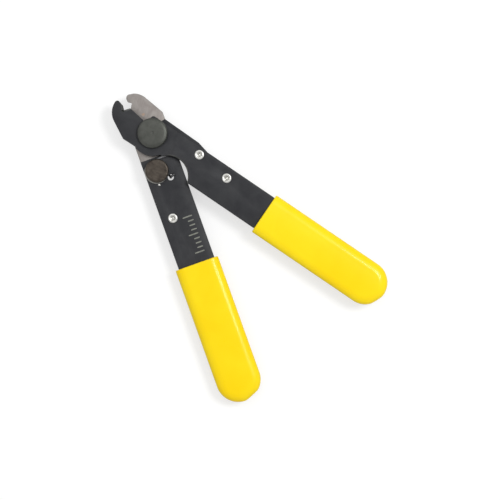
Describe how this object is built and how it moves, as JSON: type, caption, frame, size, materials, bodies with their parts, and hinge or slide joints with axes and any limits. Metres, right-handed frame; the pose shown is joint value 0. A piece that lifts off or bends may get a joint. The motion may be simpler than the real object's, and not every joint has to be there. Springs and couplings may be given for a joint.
{
  "type": "fibre stripper",
  "caption": "Hand stripper for optical fibre: flat steel levers on a pivot, V-notched jaws, a return spring and dipped vinyl grips.",
  "frame": {"origin": "on the pivot's axis, at the flat end of its rear head", "axes": "+Z runs forward along the pivot to its front head; +Y points between the jaws, along the line that halves the angle of the handles; +X is to the right seen from the front"},
  "size_m": [0.0883, 0.1368, 0.0122],
  "materials": {
    "ground_steel": "ground, fine grain",
    "black_steel": "black oxide, satin",
    "bright_rivet": "bright plated",
    "dark_rivet": "black oxide, satin",
    "bronzed_steel": "browned steel, satin",
    "spring_wire": "bright drawn wire",
    "vinyl": "glossy dipped vinyl"
  },
  "bodies": {
    "rear_half": {"rear_lever": "ground_steel", "rear_backing_plate": "black_steel", "backing_plate_rivet": "bright_rivet", "locating_pin": "bright_rivet", "rear_grip": "vinyl", "stop_knob": "bronzed_steel", "knob_washer": "black_steel", "pivot_rivet": "dark_rivet", "pivot_washer": "ground_steel", "spring_sleeve": "ground_steel", "torsion_spring": "spring_wire"},
    "front_half": {"front_lever": "black_steel", "stop_plate": "black_steel", "stop_plate_rivets": "bright_rivet", "front_grip": "vinyl"}
  },
  "joints": [
    {"name": "lever_pivot", "type": "hinge", "parent": "rear_half", "child": "front_half", "pos_m": [0, 0, 0.0093], "axis": [0, 0, -1], "range_deg": [0, 16], "stiffness_Nm_per_rad": 0.25, "springref_deg": -20.05, "deforming": ["torsion_spring"]}
  ]
}
